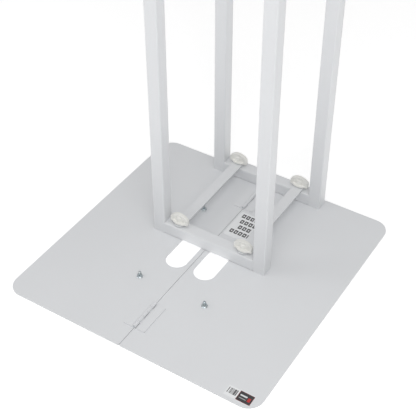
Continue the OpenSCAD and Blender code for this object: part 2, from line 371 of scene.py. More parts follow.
class Material(Graph):
    """A material with one Principled shader."""

    def __init__(self, name, constants):
        self.material = bpy.data.materials.new(name)
        self.material.use_nodes = True
        super().__init__(self.material.node_tree)
        self.shader = self.tree.nodes["Principled BSDF"]
        for socket, value in constants.items():
            self.shader.inputs[socket].default_value = value
        self.place = self.node("ShaderNodeTexCoord", output="Object")

    def feed(self, socket, value):
        """Link what changes over the surface to one of the shader's sockets."""
        self.tree.links.new(value.socket, self.shader.inputs[socket])

    def noise(self, scale, detail=2.0, place=None):
        """Soft noise from 0 to 1, with scale cells to the metre."""
        return self.node(
            "ShaderNodeTexNoise", {"noise_dimensions": "3D"},
            {"Vector": place or self.place, "Scale": scale, "Detail": detail}, "Fac")

    def blend(self, share, first, second):
        """Colour between two, by a share from 0 to 1."""
        # A Mix node keeps its colours in sockets 6 and 7, and their mix in output 2.
        return self.node(
            "ShaderNodeMix", {"data_type": "RGBA"},
            {0: share, 6: with_alpha(first), 7: with_alpha(second)}, 2)

    def stretched(self, scale):
        """Object coordinates stretched by a scale along each axis."""
        return self.node("ShaderNodeMapping", {}, {"Vector": self.place, "Scale": scale})

    def axes(self):
        """The X, Y and Z of the object coordinates."""
        first = self.node("ShaderNodeSeparateXYZ", {}, {0: self.place})
        outputs = first.socket.node.outputs
        return [Socket(self, outputs[axis]) for axis in ("X", "Y", "Z")]

    def bump(self, height, strength, distance):
        """Normals that follow a height."""
        return self.node(
            "ShaderNodeBump", {},
            {"Height": height, "Strength": strength, "Distance": distance})


def with_alpha(colour):
    """A colour for a socket: links pass, and numbers get an alpha."""
    return colour if isinstance(colour, Socket) else (*colour[:3], 1.0)


def shade(colour, factor):
    """A colour made darker or lighter."""
    return tuple(min(1.0, channel * factor) for channel in colour)


# ---- materials ---------------------------------------------------------------------------------


def powder_coat(name, colour, cut=NO_EDGE_SHADE):
    """Semi-gloss powder coat: fine orange peel, slow drift in gloss, faint dust and rub marks.

    Between the two heights of cut lie a sheet's cut edges, which are painted darker as painted shade.
    """
    paint = Material(name, {"Coat Weight": 0.25, "Coat Roughness": 0.24})
    drift = paint.noise(3.0).smooth(0.3, 0.7)
    dust = paint.noise(420.0, detail=1.0).smooth(0.74, 0.8)
    rub = paint.noise(40.0, detail=4.0, place=paint.stretched((1.0, 0.15, 0.15)))
    rub = rub.smooth(0.6, 0.78)
    tone = paint.blend(drift, shade(colour, 0.99), shade(colour, 1.005))
    tone = paint.blend(dust * 0.12, tone, shade(colour, 0.6))
    height = paint.axes()[2]
    # painted shade: the cut edges between the two heights are darkened in the base colour
    edge_shade = (height > cut[0]) * (height < cut[1])
    paint.feed("Base Color", paint.blend(edge_shade * 0.9, tone, shade(colour, 0.72)))
    paint.feed("Roughness", 0.37 + 0.03 * drift + 0.05 * rub)
    peel = paint.noise(700.0) + 0.5 * paint.noise(240.0, detail=1.0)
    paint.feed("Normal", paint.bump(peel, strength=0.08, distance=0.12 * MM))
    return paint.material


def zinc_plate(name, colour):
    """Bright zinc plating: a bluish to straw drift, and fine tool marks."""
    zinc = Material(name, {"Metallic": 1.0})
    drift = zinc.noise(160.0, detail=3.0).smooth(0.3, 0.7)
    straw = (colour[0] * 1.08, colour[1] * 1.02, colour[2] * 0.92)
    zinc.feed("Base Color", zinc.blend(drift * 0.6, colour, straw))
    marks = zinc.noise(900.0, place=zinc.stretched((1.0, 1.0, 4.0)))
    zinc.feed("Roughness", 0.16 + 0.12 * drift + 0.08 * marks)
    zinc.feed("Normal", zinc.bump(marks, strength=0.12, distance=0.1 * MM))
    return zinc.material


def moulded(name, colour, roughness):
    """Moulded plastic with a fine spark-eroded grain."""
    plastic = Material(name, {"IOR": 1.46})
    drift = plastic.noise(60.0, detail=3.0).smooth(0.25, 0.75)
    grain = plastic.noise(2600.0)
    plastic.feed("Base Color", plastic.blend(drift, shade(colour, 0.96), shade(colour, 1.02)))
    plastic.feed("Roughness", (roughness - 0.06) + 0.12 * grain)
    plastic.feed("Normal", plastic.bump(grain, strength=0.15, distance=0.06 * MM))
    return plastic.material


def within(value, centre, size):
    """1 where a coordinate lies within a band."""
    return abs(value - centre) < size / 2


def ballast_print(name, ink):
    """White sticker with four centred rows of plain marks, each with a small window."""
    label = Material(name, {"Coat Weight": 0.3, "Coat Roughness": 0.2})
    low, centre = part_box("ballast_label")[0], middle("ballast_label")
    across, along, _ = label.axes()
    marks_in_row = (5, 3, 4, 5)
    row_pitch, mark_height, mark_pitch = 18.6 * MM, 12.0 * MM, 11.0 * MM
    mark_share, window_share, window_height = 0.76, 0.26, 0.4 * mark_height
    first_row = low.y + 18.5 * MM
    marks = 0.0
    for row, count in enumerate(marks_in_row):
        height = along - (first_row + row * row_pitch)
        start = centre.x - count * mark_pitch / 2
        cell = ((across - start) / mark_pitch).fraction()
        in_row = within(across, centre.x, count * mark_pitch) * within(height, 0.0, mark_height)
        window = within(cell, 0.5, window_share) * within(height, 0.0, window_height)
        marks = marks + in_row * within(cell, 0.5, mark_share) * (1 - window)
    grain = label.noise(300.0)
    label.feed("Base Color", label.blend(marks * 0.96, PAPER, ink))
    label.feed("Roughness", 0.24 + 0.1 * grain + 0.06 * marks)
    return label.material


def maker_print(name, ink, accent):
    """Sticker with a striped white half, and a dark framed half with plain blocks."""
    label = Material(name, {"Coat Weight": 0.4, "Coat Roughness": 0.15})
    low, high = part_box("maker_label")
    centre = middle("maker_label")
    across, along, _ = label.axes()
    split = low.x + 25.5 * MM
    stripe_pitch, inked_share = 0.8 * MM, 0.55

    def dark_half(margin):
        """1 in the dark half, less a margin."""
        return (within(across, (split + high.x) / 2, high.x - split - margin)
                * within(along, centre.y, high.y - low.y - margin))

    def block(right, up, width, height):
        """1 in a rectangle, in millimetres from where the halves meet, half way up."""
        return (within(across, split + right * MM, width * MM)
                * within(along, centre.y + up * MM, height * MM))

    stripe = label.node(
        "ShaderNodeTexWhiteNoise", {"noise_dimensions": "1D"},
        {"W": ((across - low.x) / stripe_pitch).floor()}, "Value") < inked_share
    stripes = stripe * block(right=-12.5, up=1.5, width=20, height=14)
    border = dark_half(margin=1.4 * MM)
    colour = label.blend(stripes * 0.9, PAPER, ink)
    colour = label.blend(border, colour, shade(accent, 0.4))
    colour = label.blend(border * dark_half(margin=3.0 * MM), colour, ink)
    colour = label.blend(block(right=12, up=3, width=15, height=3.4) * 0.9, colour, PAPER)
    colour = label.blend(block(right=12, up=-4, width=15, height=1.6) * 0.5, colour, PAPER)
    red = block(right=25, up=-1, width=6, height=9) * 0.95
    label.feed("Base Color", label.blend(red, colour, accent))
    label.feed("Roughness", 0.2 + 0.08 * label.noise(300.0))
    return label.material


# The material of each slot: its name, what makes it, and the colours and numbers that it takes.
FINISH_OF = {
    PAINTED: ("painted_steel", powder_coat, ("paint",), ()),
    ZINC: ("zinc_plating", zinc_plate, ("zinc",), ()),
    "knob_plastic": ("knob_moulding", moulded, ("knob",), (0.42,)),
    "plug_plastic": ("plug_moulding", moulded, ("plug",), (0.55,)),
    "note_label": ("ballast_print", ballast_print, ("ink",), ()),
    "maker_label": ("maker_print", maker_print, ("ink", "accent"), ()),
}


def finish_for(slot):
    """The material of a slot, made once."""
    name, maker, colours, numbers = FINISH_OF[slot]
    known = bpy.data.materials.get(name)
    if known:
        return known
    finishes = bpy.context.scene.stand_finishes
    return maker(name, *[tuple(getattr(finishes, colour)) for colour in colours], *numbers)


# ---- meshes ------------------------------------------------------------------------------------


def shown(name, data):
    """A new object in the scene."""
    obj = bpy.data.objects.new(name, data)
    bpy.context.scene.collection.objects.link(obj)
    return obj


def plain_mesh(obj, keep=False):
    """The object's finished shape as a plain mesh. The object goes, unless it is kept."""
    bpy.context.view_layer.update()
    depsgraph = bpy.context.evaluated_depsgraph_get()
    mesh = bpy.data.meshes.new_from_object(
        obj.evaluated_get(depsgraph), preserve_all_data_layers=True, depsgraph=depsgraph)
    if not keep:
        bpy.data.objects.remove(obj)
    return mesh


def arc_radius(half_chord, rise):
    """Radius of an arc that rises over a chord."""
    return (half_chord * half_chord + rise * rise) / (2 * rise)


def built(shape, name):
    """A mesh from a bmesh, with its faces turned outwards."""
    bmesh.ops.recalc_face_normals(shape, faces=shape.faces)
    mesh = bpy.data.meshes.new(name)
    shape.to_mesh(mesh)
    shape.free()
    return mesh


def closed(mesh, gap=0.01 * MM):
    """Join loose corners and turn the faces outwards."""
    shape = bmesh.new()
    shape.from_mesh(mesh)
    bmesh.ops.remove_doubles(shape, verts=shape.verts, dist=gap)
    bmesh.ops.recalc_face_normals(shape, faces=shape.faces)
    shape.to_mesh(mesh)
    shape.free()
    return mesh


def joined(meshes):
    """One mesh from several."""
    shape = bmesh.new()
    for mesh in meshes:
        shape.from_mesh(mesh)
    whole = bpy.data.meshes.new("joined")
    shape.to_mesh(whole)
    shape.free()
    return whole


def moved(mesh, place):
    """The mesh at a place, or under a matrix."""
    matrix = place if isinstance(place, Matrix) else Matrix.Translation(place)
    mesh.transform(matrix)
    return mesh


def finished(name, mesh, nodes, sharp=35.0, material=None):
    """A finished piece: it stands for the nodes, rides on their body and takes their finish."""
    mesh.polygons.foreach_set("use_smooth", [True] * len(mesh.polygons))
    mesh.set_sharp_from_angle(angle=math.radians(sharp))
    obj = shown(name, mesh)
    weighted = obj.modifiers.new("flat faces", "WEIGHTED_NORMAL")
    weighted.keep_sharp = True
    slot = SLOT_OF[nodes[0]]
    mesh.materials.clear()
    mesh.materials.append(material or finish_for(slot))
    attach(obj, BODY_OF[nodes[0]])
    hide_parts(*nodes)


def round_rectangle(low, high, radii, steps=ARC_STEPS):
    """Points of a rectangle with round corners, anticlockwise from its lower left corner.

    radii are those of the lower left, lower right, upper right and upper left corners.
    """
    corners = [
        (low[0], low[1], 1, 1), (high[0], low[1], -1, 1),
        (high[0], high[1], -1, -1), (low[0], high[1], 1, -1),
    ]
    points = []
    for index, ((x, y, inward_x, inward_y), radius) in enumerate(zip(corners, radii)):
        start = math.pi + index * math.pi / 2
        for step in range(steps + 1 if radius else 1):
            angle = start + step / steps * math.pi / 2
            point = (
                x + radius * (inward_x + math.cos(angle)) if radius else x,
                y + radius * (inward_y + math.sin(angle)) if radius else y,
            )
            if not points or math.dist(point, points[-1]) > 1e-6:
                points.append(point)
    if math.dist(points[0], points[-1]) < 1e-6:
        points.pop()
    return points


def round_hole(x, y, radius):
    """Points of a round hole."""
    return round_rectangle(
        (x - radius, y - radius), (x + radius, y + radius), [radius] * 4, steps=12)


def cut_sheet(outline, holes, low, high, edge):
    """Mesh of a flat part between two heights, with round edges."""
    curve = bpy.data.curves.new("cut sheet", "CURVE")
    curve.dimensions = "2D"
    curve.fill_mode = "BOTH"
    curve.bevel_depth = edge
    curve.bevel_resolution = 2
    curve.extrude = (high - low) / 2 - edge
    curve.offset = -edge
    for loop in [outline] + [list(reversed(hole)) for hole in holes]:
        spline = curve.splines.new("POLY")
        spline.points.add(len(loop) - 1)
        spline.use_cyclic_u = True
        for point, (x, y) in zip(spline.points, loop):
            point.co = (x, y, 0.0, 1.0)
    mesh = plain_mesh(shown("cut sheet", curve))
    bpy.data.curves.remove(curve)
    return moved(closed(mesh), (0, 0, (low + high) / 2))


def turned(profile, steps=48, bored=False):
    """Mesh of a part turned about Z.

    The profile is a list of (radius, height), from the lowest inner point outwards and up. A
    radius may be a function of the angle. A bored part's last ring joins its first one.
    """
    shape = bmesh.new()
    rings = []
    for radius, height in profile:
        if radius == 0:
            rings.append([shape.verts.new((0, 0, height))])
            continue
        ring = []
        for step in range(steps):
            angle = 2 * math.pi * step / steps
            reach = radius(angle) if callable(radius) else radius
            ring.append(shape.verts.new((reach * math.cos(angle), reach * math.sin(angle), height)))
        rings.append(ring)
    pairs = list(zip(rings, rings[1:])) + ([(rings[-1], rings[0])] if bored else [])
    for inner, outer in pairs:
        for step in range(steps):
            after = (step + 1) % steps
            corners = [
                inner[step % len(inner)], inner[after % len(inner)],
                outer[after % len(outer)], outer[step % len(outer)],
            ]
            shape.faces.new(list(dict.fromkeys(corners)))
    return built(shape, "turned")


def ring_part(inner, outer, height, edge):
    """Mesh of a washer or a bush, with small chamfers."""
    return turned(
        [
            (inner + edge, 0.0), (outer - edge, 0.0), (outer, edge), (outer, height - edge),
            (outer - edge, height), (inner + edge, height), (inner, height - edge), (inner, edge),
        ],
        bored=True)


def eased(node, edge):
    """A copy of a node's mesh with its edges eased."""
    mesh = frame["nodes"][node].data.copy()
    shape = bmesh.new()
    shape.from_mesh(mesh)
    bmesh.ops.remove_doubles(shape, verts=shape.verts, dist=0.002 * MM)
    bmesh.ops.dissolve_limit(
        shape, angle_limit=math.radians(1.0), verts=shape.verts, edges=shape.edges)
    shape.to_mesh(mesh)
    shape.free()
    obj = shown("eased", mesh)
    bevel = obj.modifiers.new("edge", "BEVEL")
    bevel.width = edge
    bevel.segments = 2
    bevel.limit_method = "ANGLE"
    bevel.angle_limit = math.radians(50.0)
    return plain_mesh(obj)


# ---- Geometry Nodes for what repeats or follows a rule ---------------------------------------------


class Pattern(Graph):
    """A Geometry Nodes tree whose named inputs are sizes, objects and a material.

    It ends in Realize Instances and Set Material.
    """

    def __init__(self, name, sizes, objects=()):
        tree = bpy.data.node_groups.new(name, "GeometryNodeTree")
        super().__init__(tree)
        tree.interface.new_socket("Geometry", in_out="INPUT", socket_type="NodeSocketGeometry")
        for label, default in sizes.items():
            socket = tree.interface.new_socket(
                label, in_out="INPUT", socket_type="NodeSocketFloat")
            socket.default_value = default
        for label in objects:
            tree.interface.new_socket(label, in_out="INPUT", socket_type="NodeSocketObject")
        tree.interface.new_socket("Material", in_out="INPUT", socket_type="NodeSocketMaterial")
        tree.interface.new_socket("Geometry", in_out="OUTPUT", socket_type="NodeSocketGeometry")
        self.entry = tree.nodes.new("NodeGroupInput")

    def __getitem__(self, label):
        """One of the tree's named inputs."""
        return Socket(self, self.entry.outputs[label])

    def end(self, geometry):
        """Close the tree on this geometry."""
        real = self.node("GeometryNodeRealizeInstances", {}, {0: geometry})
        painted = self.node(
            "GeometryNodeSetMaterial", {}, {"Geometry": real, "Material": self["Material"]})
        outlet = self.tree.nodes.new("NodeGroupOutput")
        self.tree.links.new(painted.socket, outlet.inputs[0])
        return self.tree

    def moved(self, geometry, **how):
        """Geometry with a translation, rotation or scale."""
        values = {name.title(): value for name, value in how.items()}
        return self.node("GeometryNodeTransform", {}, {"Geometry": geometry, **values})

    def together(self, *parts):
        """Several geometries as one."""
        both = self.tree.nodes.new("GeometryNodeJoinGeometry")
        for part in parts:
            self.tree.links.new(part.socket, both.inputs[0])
        return Socket(self, both.outputs[0])


def grown(tree, mesh, slot, **values):
    """The mesh that a tree makes from a starting mesh, with its inputs set by identifier."""
    obj = shown("grown", mesh)
    modifier = obj.modifiers.new("pattern", "NODES")
    modifier.node_group = tree
    wanted = {name.replace("_", " ").capitalize(): value for name, value in values.items()}
    wanted["Material"] = finish_for(slot)
    for item in tree.interface.items_tree:
        if item.in_out == "INPUT" and item.name in wanted:
            modifier[item.identifier] = wanted[item.name]
    return plain_mesh(obj)


def tree_named(name, maker):
    """A tree that is made once and used again."""
    return bpy.data.node_groups.get(name) or maker(name)


def square_tube_tree(name):
    """Square tube along Z: the ring between two filleted squares, drawn out to a length."""
    pattern = Pattern(name, {"Size": TUBE, "Wall": 1.5 * MM, "Corner": 3 * MM, "Length": 1.0})
    size, wall, corner = pattern["Size"], pattern["Wall"], pattern["Corner"]

    def section(width, radius):
        square = pattern.node(
            "GeometryNodeCurvePrimitiveQuadrilateral", {"mode": "RECTANGLE"},
            {"Width": width, "Height": width})
        return pattern.node(
            "GeometryNodeFilletCurve", {"mode": "POLY"},
            {"Curve": square, "Count": 8, "Radius": radius})

    ring = pattern.node(
        "GeometryNodeFillCurve", {"mode": "TRIANGLES"},
        {"Curve": pattern.together(section(size, corner), section(size - 2 * wall, corner / 2))})
    walls = pattern.node(
        "GeometryNodeExtrudeMesh", {"mode": "FACES"},
        {"Mesh": ring, "Offset": (0.0, 0.0, 1.0), "Offset Scale": pattern["Length"],
         "Individual": False})
    foot = pattern.node("GeometryNodeFlipFaces", {}, {"Mesh": ring})
    whole = pattern.node(
        "GeometryNodeMergeByDistance", {},
        {"Geometry": pattern.together(walls, foot), "Distance": 0.001 * MM})
    return pattern.end(whole)


def thread_tree(name):
    """A rod with a rolled thread wound round it, both ends closed."""
    pattern = Pattern(
        name, {"Core radius": 2.55 * MM, "Depth": 0.45 * MM, "Pitch": 1 * MM, "Start": 0.0,
               "Length": 7 * MM})
    spiral = pattern.node(
        "GeometryNodeCurveSpiral", {},
        {"Resolution": 20, "Rotations": pattern["Length"] / pattern["Pitch"],
         "Start Radius": pattern["Core radius"], "End Radius": pattern["Core radius"],
         "Height": pattern["Length"]})
    profile = pattern.node(
        "GeometryNodeCurvePrimitiveCircle", {"mode": "RADIUS"},
        {"Resolution": 6, "Radius": pattern["Depth"]})
    wound = pattern.node(
        "GeometryNodeCurveToMesh", {},
        {"Curve": spiral, "Profile Curve": profile, "Fill Caps": True})
    lift = pattern.node("ShaderNodeCombineXYZ", {}, {"Z": pattern["Start"]})
    return pattern.end(pattern.together(
        pattern["Geometry"], pattern.moved(wound, translation=lift)))


def copies_tree(name):
    """One copy of a part on every corner of the starting mesh."""
    pattern = Pattern(name, {"Turn": 0.0}, objects=("Part",))
    part = pattern.node(
        "GeometryNodeObjectInfo", {}, {"Object": pattern["Part"]}, "Geometry")
    turn = pattern.node("ShaderNodeCombineXYZ", {}, {"Z": pattern["Turn"]})
    return pattern.end(pattern.node(
        "GeometryNodeInstanceOnPoints", {},
        {"Points": pattern["Geometry"], "Instance": part, "Rotation": turn}))


def weld_tree(name):
    """A rippled weld bead round a tube's end, square to X, on every corner of the mesh."""
    pattern = Pattern(
        name, {"Height": 27 * MM, "Depth": 27 * MM, "Corner": 3 * MM, "Bead": 1.4 * MM,
               "Ripple": 1.9 * MM, "Seed": 4.0})
    path = pattern.node(
        "GeometryNodeCurvePrimitiveQuadrilateral", {"mode": "RECTANGLE"},
        {"Width": pattern["Height"], "Height": pattern["Depth"]})
    path = pattern.node(
        "GeometryNodeFilletCurve", {"mode": "POLY"},
        {"Curve": path, "Count": 5, "Radius": pattern["Corner"]})
    path = pattern.node(
        "GeometryNodeResampleCurve", {"mode": "LENGTH"}, {"Curve": path, "Length": 0.45 * MM})
    along = pattern.node("GeometryNodeSplineParameter", {}, {}, "Length")
    noise = pattern.node(
        "ShaderNodeTexNoise", {"noise_dimensions": "4D"},
        {"W": pattern["Seed"], "Scale": 260.0, "Detail": 2.0}, "Fac")
    wave = (2 * math.pi * along / pattern["Ripple"]).sine()
    steady, rippled, uneven = 0.84, 0.07, 0.18
    profile = pattern.node(
        "GeometryNodeCurvePrimitiveCircle", {"mode": "RADIUS"},
        {"Resolution": 8, "Radius": pattern["Bead"]})
    bead = pattern.node(
        "GeometryNodeCurveToMesh", {},
        {"Curve": path, "Profile Curve": profile, "Scale": steady + rippled * wave + uneven * noise})
    upright = pattern.moved(bead, rotation=(0.0, math.pi / 2, 0.0))
    return pattern.end(pattern.node(
        "GeometryNodeInstanceOnPoints", {},
        {"Points": pattern["Geometry"], "Instance": upright}))


def points_mesh(places):
    """A mesh of loose corners at these places."""
    mesh = bpy.data.meshes.new("places")
    mesh.from_pydata([tuple(place) for place in places], [], [])
    return mesh


def copies(part, places, slot, turn=0.0):
    """Mesh of a part repeated at each place."""
    template = shown("template", part)
    mesh = grown(
        tree_named("copies", copies_tree), points_mesh(places), slot, part=template, turn=turn)
    bpy.data.objects.remove(template)
    return mesh


def tube(length):
    """Mesh of the square tube, along Z from zero."""
    sizes = bpy.context.scene.stand_tube
    return grown(
        tree_named("square tube", square_tube_tree), points_mesh([]), PAINTED,
        size=sizes.size, wall=sizes.wall, corner=sizes.corner, length=length)


def threaded(rod, core, depth, pitch, start, length):
    """Mesh of a rod with a thread over part of its length."""
    return grown(
        tree_named("thread", thread_tree), rod, ZINC, core_radius=core, depth=depth,
        pitch=pitch, start=start, length=length)


# ---- pieces ------------------------------------------------------------------------------------


class STAND_OT_base_plate(bpy.types.Operator):
    """Build both halves of the folding base plate, with their hand slots"""

    bl_idname = "stand.base_plate"
    bl_label = "Base plate"

    def execute(self, context):
        sizes = context.scene.stand_sheet
        colour = tuple(context.scene.stand_finishes.paint)
        # painted shade: the plate's side faces, below the top's eased edge, are darkened in the
        # coat's colour
        coat = powder_coat("painted_plate", colour, cut=(-1 * MM, PLATE_TOP - sizes.edge))
        for side, sign in zip(SIDES, (-1, 1)):
            node = f"{side}_base_plate"
            low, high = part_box(node)
            seam = low.x if sign > 0 else high.x
            inner, outer = sizes.seam_corner, sizes.corner
            radii = [inner, outer, outer, inner] if sign > 0 else [outer, inner, inner, outer]
            near = seam + sign * sizes.slot_land
            far = near + sign * sizes.slot_width
            slot = round_rectangle(
                (min(near, far), -sizes.slot_length / 2), (max(near, far), sizes.slot_length / 2),
                [sizes.slot_width / 2] * 4, FINE_ARC_STEPS)
            outline = round_rectangle(low, high, radii, FINE_ARC_STEPS)
            sheet = cut_sheet(outline, [slot], low.z, high.z, sizes.edge)
            finished(f"{side}_plate_half", sheet, [node], material=coat)
        return {"FINISHED"}


class STAND_OT_hinges(bpy.types.Operator):
    """Build the leaves and pins of the two butt hinges"""

    bl_idname = "stand.hinges"
    bl_label = "Hinges"

    def execute(self, context):
        for row in ROWS:
            for side in SIDES:
                node = f"{row}_hinge_{side}_leaf"
                finished(f"{row}_{side}_leaf", eased(node, edge=0.35 * MM), [node])
            node = f"{row}_hinge_pin"
            size, centre = extent(node), middle(node)
            radius, chamfer = size.x / 2, 0.5 * MM
            pin = turned([
                (0, 0), (radius - chamfer, 0), (radius, chamfer), (radius, size.y - chamfer),
                (radius - chamfer, size.y), (0, size.y)])
            lie_along_y = Matrix.Rotation(-math.pi / 2, 4, "X")
            place = Matrix.Translation((centre.x, centre.y - size.y / 2, centre.z))
            finished(f"{row}_pin", moved(pin, place @ lie_along_y), [node])
        return {"FINISHED"}


class STAND_OT_spare_studs(bpy.types.Operator):
    """Build the spare studs and the flange nuts on them"""

    bl_idname = "stand.spare_studs"
    bl_label = "Spare studs and nuts"

    def execute(self, context):
        sizes = context.scene.stand_hardware
        radius, pitch = sizes.stud / 2, sizes.stud_pitch
        depth, chamfer = THREAD_DEPTH * pitch, 0.5 * MM
        core = radius - depth
        for side in SIDES:
            studs, nuts = f"{side}_spare_studs", f"{side}_flange_nuts"
            low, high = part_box(studs)
            height, nut_height = high.z - low.z, extent(nuts).z
            places = [((low.x + high.x) / 2, y, low.z) for y in (low.y + radius, high.y - radius)]
            rod = turned([
                (0, 0), (core, 0), (core, height - chamfer), (core - chamfer, height),
                (0, height)], steps=32)
            plain_ends = 2.4 * depth
            stud = threaded(
                rod, core, depth, pitch, start=nut_height + depth,
                length=height - nut_height - plain_ends)
            finished(f"{side}_studs", copies(stud, places, ZINC), [studs])
            nut = self.nut(sizes, core, nut_height)
            finished(f"{side}_nuts", copies(nut, places, ZINC, turn=0.56), [nuts])
        return {"FINISHED"}

    def nut(self, sizes, core, height):
        """Flange nut: a round flange that slopes up to a hexagon with turned-off corners."""
        half, flange = sizes.nut_flats / 2, sizes.nut_flange / 2
        bore, ease, mouth, crown = core + 0.05 * MM, 0.3 * MM, 0.4 * MM, 0.9 * MM
        rim_top, shoulder, root, prism_foot = 0.9 * MM, 1.2 * MM, 1.7 * MM, 2.1 * MM
        slope, fillet = 0.35 * MM, 0.25 * MM
        widest, turned_off = 1.155, 0.185
        chamfer_steps = 5

        def hexagon(angle):
            return half / math.cos(angle % (math.pi / 3) - math.pi / 6)

        def under(limit):
            return lambda angle: min(hexagon(angle), limit)

        profile = [
            (bore + ease, 0), (flange - ease, 0), (flange, ease), (flange, rim_top),
            (flange - slope, shoulder), (lambda angle: hexagon(angle) + fillet, root),
            (hexagon, prism_foot),
        ]
        for step in range(chamfer_steps + 1):
            share = step / chamfer_steps
            limit = half * (widest - turned_off * share)
            profile.append((under(limit), height - (1 - share) * crown))
        profile += [(bore + mouth, height), (bore, height - mouth), (bore, ease)]
        return turned(profile, steps=96, bored=True)


class STAND_OT_bosses(bpy.types.Operator):
    """Build the threaded bosses that take the clamp screws"""

    bl_idname = "stand.bosses"
    bl_label = "Threaded bosses"

    def execute(self, context):
        sizes = context.scene.stand_hardware
        clearance = 0.3 * MM
        inner, outer = sizes.screw / 2 + clearance, sizes.boss / 2
        groups = {
            "left_threaded_bosses": [("bottom", row, "left") for row in ROWS],
            "right_threaded_bosses": [("bottom", row, "right") for row in ROWS],
            "top_threaded_bosses": [("top", row, side) for row in ROWS for side in SIDES],
        }
        for node, clamps in groups.items():
            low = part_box(node)[0]
            places = [(*clamp_place(*clamp), low.z) for clamp in clamps]
            boss = ring_part(inner, outer, extent(node).z, edge=0.5 * MM)
            name = node.replace("threaded_", "") + "_turned"
            finished(name, copies(boss, places, ZINC), [node])
        return {"FINISHED"}


class STAND_OT_labels(bpy.types.Operator):
    """Build the ballast label and the maker's label"""

    bl_idname = "stand.labels"
    bl_label = "Labels"

    def execute(self, context):
        rounded = context.scene.stand_sheet.label_corner
        corners = {"ballast_label": rounded, "maker_label": 0.8 * MM}
        for node, corner in corners.items():
            low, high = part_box(node)
            outline = round_rectangle(low, high, [corner] * 4, steps=8)
            sticker = cut_sheet(outline, [], low.z, high.z, edge=0.08 * MM)
            finished(f"{node}_sticker", sticker, [node])
        return {"FINISHED"}


class STAND_OT_posts(bpy.types.Operator):
    """Build the four posts of square tube"""

    bl_idname = "stand.posts"
    bl_label = "Posts"

    def execute(self, context):
        for row in ROWS:
            for side in SIDES:
                node = f"{row}_{side}_post"
                centre, low = middle(node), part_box(node)[0]
                post = moved(tube(extent(node).z), (centre.x, centre.y, low.z))
                finished(f"{row}_{side}_upright", post, [node])
        return {"FINISHED"}


class STAND_OT_rails(bpy.types.Operator):
    """Build the six rails, with the holes that the bosses and screws pass through"""

    bl_idname = "stand.rails"
    bl_label = "Rails"

    def execute(self, context):
        lie_along_x = Matrix.Rotation(math.pi / 2, 4, "Y")
        for row in ROWS:
            for level in ("bottom", "middle", "top"):
                node = f"{row}_{level}_rail"
                low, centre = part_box(node)[0], middle(node)
                place = Matrix.Translation((low.x, centre.y, centre.z))
                rail = shown("rail", moved(tube(extent(node).x), place @ lie_along_x))
                if level != "middle":
                    self.drill(rail, level, row, context.scene)
                finished(f"{row}_{level}_crossbar", plain_mesh(rail), [node])
        return {"FINISHED"}

    def drill(self, rail, level, row, scene):
        """Cut the holes for the bosses in the outer wall and for the screws in the inner one."""
        hole, boss = scene.stand_sheet.screw_hole / 2, scene.stand_tube.boss_hole / 2
        low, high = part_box(f"{row}_{level}_rail")
        centre = (low.z + high.z) / 2
        overrun = 1 * MM
        reach = high.z - centre + overrun
        up = 1 if level == "bottom" else -1
        for side in SIDES:
            x, y = clamp_place(level, row, side)
            for radius, way in ((boss, -up), (hole, up)):
                cutter = shown("cutter", moved(
                    turned([(0, 0), (radius, 0), (radius, reach), (0, reach)]),
                    Matrix.Translation((x, y, centre if way > 0 else centre - reach))))
                cut = rail.modifiers.new("hole", "BOOLEAN")
                cut.operation = "DIFFERENCE"
                cut.solver = "EXACT"
                cut.object = cutter
                mesh = plain_mesh(rail, keep=True)
                rail.modifiers.clear()
                rail.data = mesh
                bpy.data.objects.remove(cutter)


class STAND_OT_welds(bpy.types.Operator):
    """Build the weld beads where the rails meet the posts"""

    bl_idname = "stand.welds"
    bl_label = "Welds"

    def execute(self, context):
        sizes = context.scene.stand_tube
        lower, narrower, sharper, proud = 2.4 * MM, 2.6 * MM, 1 * MM, 0.8 * MM
        places = []
        for row in ROWS:
            for level, shifts in (("bottom", (1,)), ("middle", (1, -1)), ("top", (-1,))):
                node = f"{row}_{level}_rail"
                (low, high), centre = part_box(node), middle(node)
                for shift in shifts:
                    for x in (low.x - proud, high.x + proud):
                        places.append((x, centre.y, centre.z + shift * proud))
        mesh = grown(
            tree_named("weld bead", weld_tree), points_mesh(places), PAINTED,
            height=sizes.size - lower, depth=sizes.size - narrower,
            corner=sizes.corner - sharper, bead=sizes.bead, ripple=sizes.ripple, seed=4.0)
        mesh.polygons.foreach_set("use_smooth", [True] * len(mesh.polygons))
        beads = shown("weld_beads", mesh)
        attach(beads, BODY_OF["front_left_post"])
        return {"FINISHED"}


class STAND_OT_bars(bpy.types.Operator):
    """Build the flat bars that tie the front and rear frames"""

    bl_idname = "stand.bars"
    bl_label = "Clamp bars"

    def execute(self, context):
        sizes = context.scene.stand_sheet
        colour = tuple(context.scene.stand_finishes.paint)
        for end in ENDS:
            low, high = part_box(f"left_{end}_bar")
            # painted shade: the bars' side faces between these heights are darkened in the coat's
            # colour
            cut = (low.z + sizes.bar_edge, high.z - sizes.bar_edge)
            coat = powder_coat(f"painted_{end}_bar", colour, cut)
            for side in SIDES:
                node = f"{side}_{end}_bar"
                low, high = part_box(node)
                outline = round_rectangle(low, high, [(high.x - low.x) / 2] * 4)
                holes = [
                    round_hole(*clamp_place(end, row, side), sizes.screw_hole / 2) for row in ROWS]
                bar = cut_sheet(outline, holes, low.z, high.z, sizes.bar_edge)
                finished(f"{side}_{end}_tie", bar, [node], material=coat)
        return {"FINISHED"}


class STAND_OT_washers(bpy.types.Operator):
    """Build the washers under the knobs"""

    bl_idname = "stand.washers"
    bl_label = "Washers"

    def execute(self, context):
        scene = context.scene
        for end in ENDS:
            node = f"{end}_washers"
            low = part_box(node)[0]
            washer = ring_part(
                scene.stand_sheet.screw_hole / 2, scene.stand_hardware.washer / 2,
                extent(node).z, edge=0.25 * MM)
            places = [
                (*clamp_place(end, row, side), low.z) for row in ROWS for side in SIDES]
            finished(f"{end}_plain_washers", copies(washer, places, ZINC), [node])
        return {"FINISHED"}


